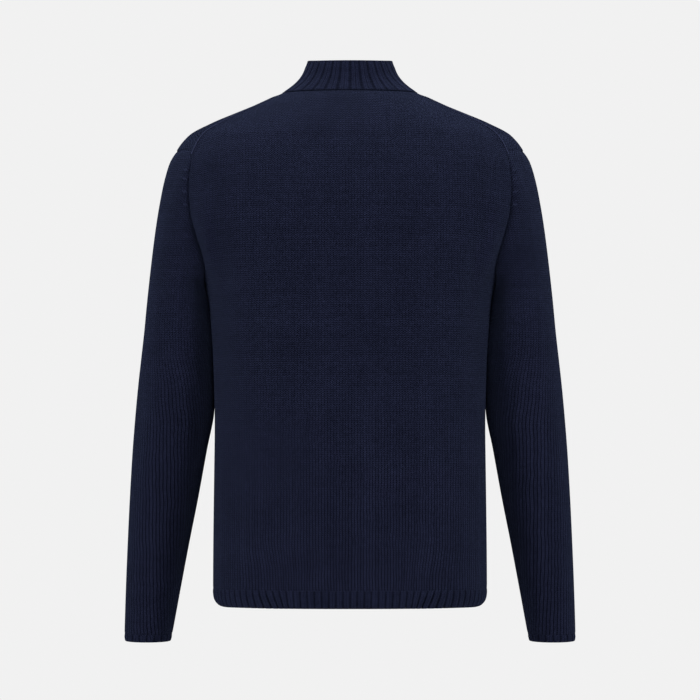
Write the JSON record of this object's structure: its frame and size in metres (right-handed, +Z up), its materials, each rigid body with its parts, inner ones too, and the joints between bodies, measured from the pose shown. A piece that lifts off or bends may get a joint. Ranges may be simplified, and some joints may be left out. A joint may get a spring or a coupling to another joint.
{
  "type": "knitted zip-up cardigan",
  "caption": "Long-sleeved knitted cardigan with a ribbed stand collar, ribbed hem and cuffs and a full-length front zip, filled out as worn",
  "frame": {"origin": "middle of the neck opening, level with the side neck points, where the wearer's shoulders carry the garment", "axes": "+Z up, -Y to the front, +X to the wearer's left"},
  "size_m": [0.6026, 0.2548, 0.7699],
  "materials": {
    "navy_knit": "matt stocking-stitch wool knit, dark navy with a faint blue heather",
    "navy_rib": "matt ribbed wool knit, dark navy",
    "zip_tape": "woven polyester tape, dark navy",
    "zip_metal": "dark nickel, satin"
  },
  "bodies": {
    "cardigan": {"back": "navy_knit", "front_left": "navy_knit", "front_right": "navy_knit", "sleeve_left": "navy_knit", "sleeve_right": "navy_knit", "collar": "navy_rib", "hem_back": "navy_rib", "hem_front_left": "navy_rib", "hem_front_right": "navy_rib", "cuff_left": "navy_rib", "cuff_right": "navy_rib", "zip_tape_left": "zip_tape", "zip_tape_right": "zip_tape", "zip_chain": "zip_metal", "zip_slider": "zip_metal", "zip_stop_left": "zip_metal", "zip_stop_right": "zip_metal", "zip_box": "zip_metal"},
    "pull": {"zip_pull": "zip_metal"}
  },
  "joints": [
    {"name": "pull_swing", "type": "hinge", "parent": "cardigan", "child": "pull", "pos_m": [0, -0.06556, -0.02197], "axis": [-1, 0, 0], "range_deg": [0, 160]}
  ]
}
